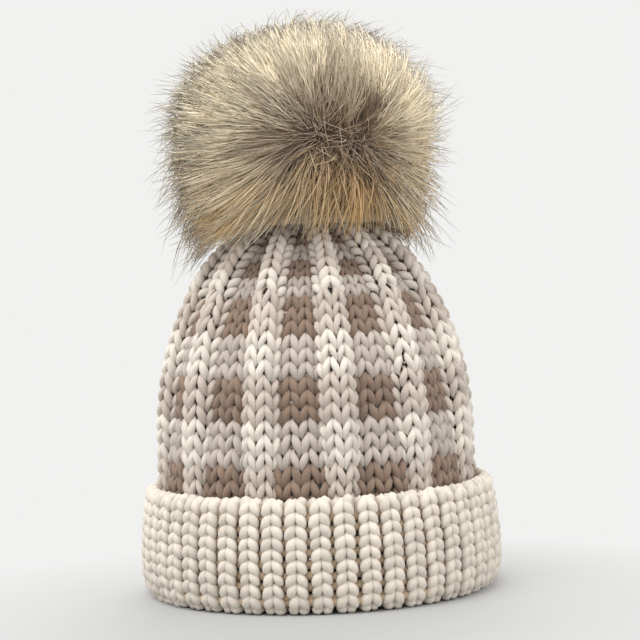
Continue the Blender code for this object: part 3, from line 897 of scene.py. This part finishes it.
def fur_reach(directions):
    """How far the fur's outer form lies from the ball's middle."""
    elevation = np.arctan2(directions[:, 2], np.hypot(directions[:, 0], directions[:, 1]))
    return np.interp(elevation, outline_angle, outline_reach)


def underfur_reach(directions):
    """How far the underfur reaches, which thins out towards the lip over the crown."""
    low = np.clip((-0.25 - directions[:, 2]) / 0.5, 0, 1)
    share = UNDERFUR_SHARE * (1 - UNDERFUR_THINNING * low)
    return BALL_RADIUS + share * (fur_reach(directions) - BALL_RADIUS)


def root_reach(directions):
    return BALL_RADIUS + ROOT_SHARE * (fur_reach(directions) - BALL_RADIUS)


def spread(count, jitter):
    """Directions spread evenly over the ball, above its neck."""
    lowest = -0.90
    height = lowest + (1 - lowest) * (np.arange(count) + 0.5) / count
    turn = np.arange(count) * math.pi * (3 - math.sqrt(5))
    level = np.sqrt(1 - height**2)
    directions = np.stack([level * np.cos(turn), level * np.sin(turn), height], -1)
    return unit(directions + fur_rng.normal(0, jitter, (count, 3)))


def partings(directions):
    """For each direction, the nearest place in the front crease, and the whorl at the back."""
    chord = CREASE_TO - CREASE_FROM
    along = np.clip((directions - CREASE_FROM) @ chord / (chord @ chord), 0, 1)
    return unit(CREASE_FROM + along[:, None] * chord), np.broadcast_to(unit(BACK_WHORL), directions.shape)


def laid_over(directions, sweep):
    """Directions turned along the ball, away from the crease in front and the whorl behind."""
    turned = directions
    for parting in partings(directions):
        facing = np.sum(directions * parting, axis=1, keepdims=True)
        hold = np.clip((facing + 0.25) / 0.75, 0, 1)
        away = directions * facing - parting
        away = away / (0.05 + np.linalg.norm(away, axis=1, keepdims=True))
        turned = turned + np.tan(sweep)[:, None] * hold * away
    return unit(turned)


def parting_distance(directions):
    """How far a place is, in radians, from the nearer parting."""
    facing = [np.sum(directions * parting, axis=1) for parting in partings(directions)]
    return np.arccos(np.clip(np.maximum(*facing), -1, 1))


def far_from_parting(directions):
    """0 in a parting, where the hair is dark, rising to 1 where it is palest, sooner on the right."""
    right = 1.3 * np.clip(directions[:, 0] - 0.5, 0, 1)
    return np.clip((parting_distance(directions) - 0.12) / 0.55 + right, 0, 1)


lock_roots = spread(LOCKS, 0.03)
lock_tips = laid_over(lock_roots, AWN_SWEEP + fur_rng.normal(0, 0.12, LOCKS))
lock_tips = unit(lock_tips + fur_rng.normal(0, 0.08, (LOCKS, 3)))
lock_size = fur_rng.uniform(0.93, 1.03, LOCKS)
lock_tone = fur_rng.random(LOCKS)
lock_tree = kdtree.KDTree(LOCKS)
for number, direction in enumerate(lock_roots):
    lock_tree.insert(direction, number)
lock_tree.balance()


def hairs(count, guard):
    """Roots, paths, widths and colours of the awn or the guard hairs."""
    roots = spread(count, 0.02)
    lock_of = np.array([lock_tree.find(direction)[1] for direction in roots])
    standing = np.exp(-((parting_distance(roots) / 0.25) ** 2))
    sweep = (GUARD_SWEEP if guard else AWN_SWEEP) * (1 - standing * fur_rng.random(count))
    own_tips = laid_over(roots, sweep + fur_rng.normal(0, 0.12, count))
    tangle = 0.08 + WHORL_TANGLE * standing
    own_tips = unit(own_tips + tangle[:, None] * fur_rng.normal(0, 1, (count, 3)))
    pull = (0.3 if guard else LOCK_PULL) * fur_rng.uniform(0.6, 1.3, count) * (1 - standing)
    ways = unit(own_tips + (lock_tips[lock_of] - own_tips) * pull[:, None])
    if guard:
        size = 1.05 + 0.11 * fur_rng.random(count) + 0.22 * fur_rng.random(count) ** 5
    else:
        size = lock_size[lock_of] * fur_rng.uniform(0.92, 1.02, count)
    size = size * (1 + SKIRT_HANG * np.clip((-0.3 - ways[:, 2]) / 0.4, 0, 1))
    root = ball_centre + roots * root_reach(roots)[:, None]
    tip = ball_centre + ways * (fur_reach(ways) * size)[:, None]
    length = np.linalg.norm(tip - root, axis=1, keepdims=True)
    bend = root + unit(roots + 0.7 * unit(tip - root)) * 0.5 * length
    share = np.linspace(0, 1, STRAND_STEPS)[None, :, None]
    paths = (1 - share) ** 2 * root[:, None] + 2 * share * (1 - share) * bend[:, None]
    paths += share**2 * tip[:, None]
    over = np.clip(1 - np.sum(paths[..., :2] ** 2, axis=2) / crown_out**2, 0, 1)
    paths[..., 2] = np.maximum(paths[..., 2], DOME_START + DOME_RISE * np.sqrt(over) + FUR_OVER_CROWN)
    width = STRAND_RADIUS * (0.85 if guard else 1.0) * fur_rng.uniform(0.75, 1.2, count)
    radii = width[:, None] * (1 - 0.88 * np.linspace(0, 1, STRAND_STEPS)[None] ** 2.6)
    tone = far_from_parting(roots) + 0.5 * (lock_tone[lock_of] - 0.45) + fur_rng.normal(0, 0.10, count)
    low = np.clip((-0.10 - roots[:, 2]) / 0.5, 0, 1)
    gold = low * np.clip(lock_tone[lock_of] * 1.8 - 0.5, 0, 1)
    edge = np.clip((parting_distance(ways) - 0.5) / 0.5, 0, 1) * fur_rng.uniform(0.6, 1.0, count)
    return {
        "roots": roots,
        "paths": paths,
        "radii": radii,
        "tone": np.clip(tone, 0, 1),
        "gold": gold,
        "guard": (0.1 + 0.9 * edge) * float(guard),
    }


def fur_shades(name):
    """Hair colour along its length: pale or deep by lock, gold low down, dark at a guard hair's tip."""
    material, tree, shader = blank_material(name)
    along, tone, gold, guard = (
        node_of(tree, "ShaderNodeAttribute", attribute_name=label).outputs["Fac"]
        for label in ("share", "tone", "gold", "guard")
    )
    pale_stops = [
        (0.0, linear(196, 170, 136)),
        (0.3, linear(240, 222, 190)),
        (0.6, linear(253, 242, 214)),
        (1.0, linear(255, 247, 224)),
    ]
    deep_stops = [
        (0.0, linear(50, 35, 25)),
        (0.35, linear(78, 55, 38)),
        (0.7, linear(114, 86, 60)),
        (1.0, linear(152, 120, 86)),
    ]
    gold_stops = [
        (0.0, linear(92, 66, 40)),
        (0.4, linear(178, 130, 64)),
        (1.0, linear(232, 184, 100)),
    ]
    colour = shades(tree, along, deep_stops)
    for share, stops in ((tone, pale_stops), (gold, gold_stops)):
        links = [(0, share), (6, colour), (7, shades(tree, along, stops))]
        colour = node_of(tree, "ShaderNodeMix", links, data_type="RGBA").outputs[2]
    near_tip = node_of(tree, "ShaderNodeMapRange", [("Value", along)], From_Min=0.5, From_Max=0.72)
    tip_links = [(0, near_tip.outputs[0]), (1, guard)]
    darkness = node_of(tree, "ShaderNodeMath", tip_links, operation="MULTIPLY").outputs[0]
    tipped = node_of(tree, "ShaderNodeMix", [(0, darkness), (6, colour)], data_type="RGBA")
    tipped.inputs[7].default_value = (*linear(48, 36, 31), 1)
    tree.links.new(tipped.outputs[2], shader.inputs["Base Color"])
    shader.inputs["Roughness"].default_value = 0.6
    shader.inputs["Specular IOR Level"].default_value = 0.3
    shader.inputs["Sheen Weight"].default_value = 1.0
    shader.inputs["Sheen Roughness"].default_value = 0.5
    shader.inputs["Sheen Tint"].default_value = (*linear(250, 238, 214), 1)
    return material


def fur_piece(name, hair, chosen, material):
    """One object from the chosen hairs, with each hair's share of its length and its colours."""
    roots, paths = hair["roots"][chosen], hair["paths"][chosen]
    ups = np.broadcast_to(np.cross(roots, [0.3, 0.2, 0.93])[:, None], paths.shape)
    layer = lay_yarn(paths, hair["radii"][chosen], ups, 3, hair["tone"][chosen, None])
    piece = yarn_piece(name, [layer], material)
    count = len(paths)
    along = np.tile(np.repeat(np.linspace(0, 1, STRAND_STEPS), 3), count)
    values = {"share": np.concatenate([along, np.tile([0.0, 1.0], count)])}
    for label in ("gold", "guard"):
        own = hair[label][chosen]
        values[label] = np.concatenate([np.repeat(own, STRAND_STEPS * 3), np.repeat(own, 2)])
    for label, numbers in values.items():
        piece.data.attributes.new(label, "FLOAT", "POINT").data.foreach_set("value", numbers)
    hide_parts("pompom_fur")
    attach(piece, "pompom")
    return piece


kinds = [hairs(AWN_HAIRS, False), hairs(GUARD_HAIRS, True)]
hair = {key: np.concatenate([kind[key] for kind in kinds]) for key in kinds[0]}
fur_material = fur_shades("fur_pile_shades")
hair_turn = np.arctan2(hair["roots"][:, 1], hair["roots"][:, 0]) / (2 * math.pi) + 0.5
skirt = hair["roots"][:, 2] < SKIRT_BELOW
for number in range(UPPER_PIECES):
    chosen = ~skirt & ((hair_turn * UPPER_PIECES).astype(int) % UPPER_PIECES == number)
    fur_piece(f"fur_locks_{number + 1}", hair, chosen, fur_material)

# The skirt of the fur hangs over the crown, and is pressed up by it; each skirt piece has a mesh of its own
for number in range(SKIRT_PIECES):
    chosen = skirt & ((hair_turn * SKIRT_PIECES).astype(int) % SKIRT_PIECES == number)
    piece = fur_piece(f"fur_skirt_{number + 1}", hair, chosen, fur_material)
    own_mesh(piece)


elevation = np.radians(np.linspace(-68, 90, 60))
level_out = np.stack([np.cos(elevation), 0 * elevation, np.sin(elevation)], -1)
underfur_outer = level_out * underfur_reach(level_out)[:, None] + ball_centre
underfur_inner = level_out * (BALL_RADIUS + 0.0003) + ball_centre
underfur_line = np.concatenate([underfur_outer, underfur_inner[::-1], underfur_outer[:1]])[:, [0, 2]]
# Near the crease and the whorl the underfur is darkest: partly its own brown, partly painted shade of the
# pit between the parted hair.
underfur_pile = plush("underfur_pile", linear(48, 34, 24), linear(78, 57, 40), 600, linear(206, 182, 146))
underfur = turned_piece("underfur", underfur_line, 96, underfur_pile)
underfur_ways = unit(np.array([vertex.co for vertex in underfur.data.vertices]) - ball_centre)
underfur_tone = far_from_parting(underfur_ways)
underfur.data.attributes.new("tone", "FLOAT", "POINT").data.foreach_set("value", underfur_tone)
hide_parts("pompom_fur")
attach(underfur, "pompom")

# Floor, light and camera
# A grey floor, painted darker near the hat as its shade, that fades into a glow of the white surround,
# a broad soft light from the upper left, weaker ones from the right and from behind, and a long lens
# at the height of the crown.
FLOOR_RADIUS = 3.0
FLOOR_MIDDLE = (0.0, -0.1, 0.0)
SURROUND = linear(241, 241, 240)
LENS = 112.0
CAMERA_AT = Vector((0.004, -1.04, 0.176))
CAMERA_AIM = Vector((0.004, 0.0, 0.1385))
CAMERA_ROLL = math.radians(-2.3)

bpy.ops.mesh.primitive_circle_add(
    vertices=96, radius=FLOOR_RADIUS, fill_type="NGON", location=FLOOR_MIDDLE
)
floor = bpy.context.object
floor.name = "floor"
floor_shade_and_glow, tree, shader = blank_material("floor_shade_and_glow")
# The grey near the hat is painted shade under and around it; beyond 0.08 m it fades into a glow of the
# surround's white.
shader.inputs["Base Color"].default_value = (*linear(164, 164, 163), 1)
shader.inputs["Roughness"].default_value = 0.9
shader.inputs["Specular IOR Level"].default_value = 0.1
place = node_of(tree, "ShaderNodeTexCoord").outputs["Object"]
distance = node_of(tree, "ShaderNodeVectorMath", [(0, place)], operation="LENGTH")
fade = node_of(
    tree,
    "ShaderNodeMapRange",
    [("Value", distance.outputs["Value"])],
    From_Min=0.08,
    From_Max=0.26,
)
glow = node_of(tree, "ShaderNodeEmission", Color=(*SURROUND, 1), Strength=1.0)
blend = node_of(
    tree,
    "ShaderNodeMixShader",
    [(0, fade.outputs[0]), (1, shader.outputs[0]), (2, glow.outputs[0])],
)
tree.links.new(blend.outputs[0], tree.nodes["Material Output"].inputs["Surface"])
floor.data.materials.append(floor_shade_and_glow)

world = bpy.data.worlds.new("surround")
bpy.context.scene.world = world
world.use_nodes = True
tree = world.node_tree
light_path = node_of(tree, "ShaderNodeLightPath")
seen = node_of(tree, "ShaderNodeBackground", Color=(*SURROUND, 1), Strength=1.0)
lighting = node_of(tree, "ShaderNodeBackground", Color=(1, 1, 1, 1), Strength=1.15)
sight = light_path.outputs["Is Camera Ray"]
for ray in ("Is Glossy Ray", "Is Transmission Ray"):
    sight = node_of(
        tree,
        "ShaderNodeMath",
        [(0, sight), (1, light_path.outputs[ray])],
        operation="MAXIMUM",
    ).outputs[0]
choice = node_of(
    tree,
    "ShaderNodeMixShader",
    [(0, sight), (1, lighting.outputs[0]), (2, seen.outputs[0])],
)
tree.links.new(choice.outputs[0], tree.nodes["World Output"].inputs["Surface"])


def soft_light(name, place, size, power):
    lamp = bpy.data.lights.new(name, "AREA")
    lamp.shape = "DISK"
    lamp.size = size
    lamp.energy = power
    stand = bpy.data.objects.new(name, lamp)
    stand.location = place
    stand.rotation_mode = "QUATERNION"
    stand.rotation_quaternion = (CAMERA_AIM - Vector(place)).to_track_quat("-Z", "Y")
    bpy.context.scene.collection.objects.link(stand)


soft_light("key_light", (-0.45, -0.55, 1.65), 1.2, 24)
soft_light("fill_light", (1.3, -0.9, 0.6), 1.2, 5)
soft_light("back_light", (0.2, 1.2, 1.4), 1.2, 12)

lens = bpy.data.cameras.new("camera")
lens.lens = LENS
lens.sensor_width = 36
camera = bpy.data.objects.new("camera", lens)
camera.location = CAMERA_AT
look = (CAMERA_AIM - CAMERA_AT).to_track_quat("-Z", "Y").to_matrix().to_4x4()
camera.rotation_euler = look.to_euler()
camera.rotation_euler.rotate_axis("Z", CAMERA_ROLL)
bpy.context.scene.collection.objects.link(camera)
bpy.context.scene.camera = camera
bpy.context.scene.view_settings.view_transform = "Standard"
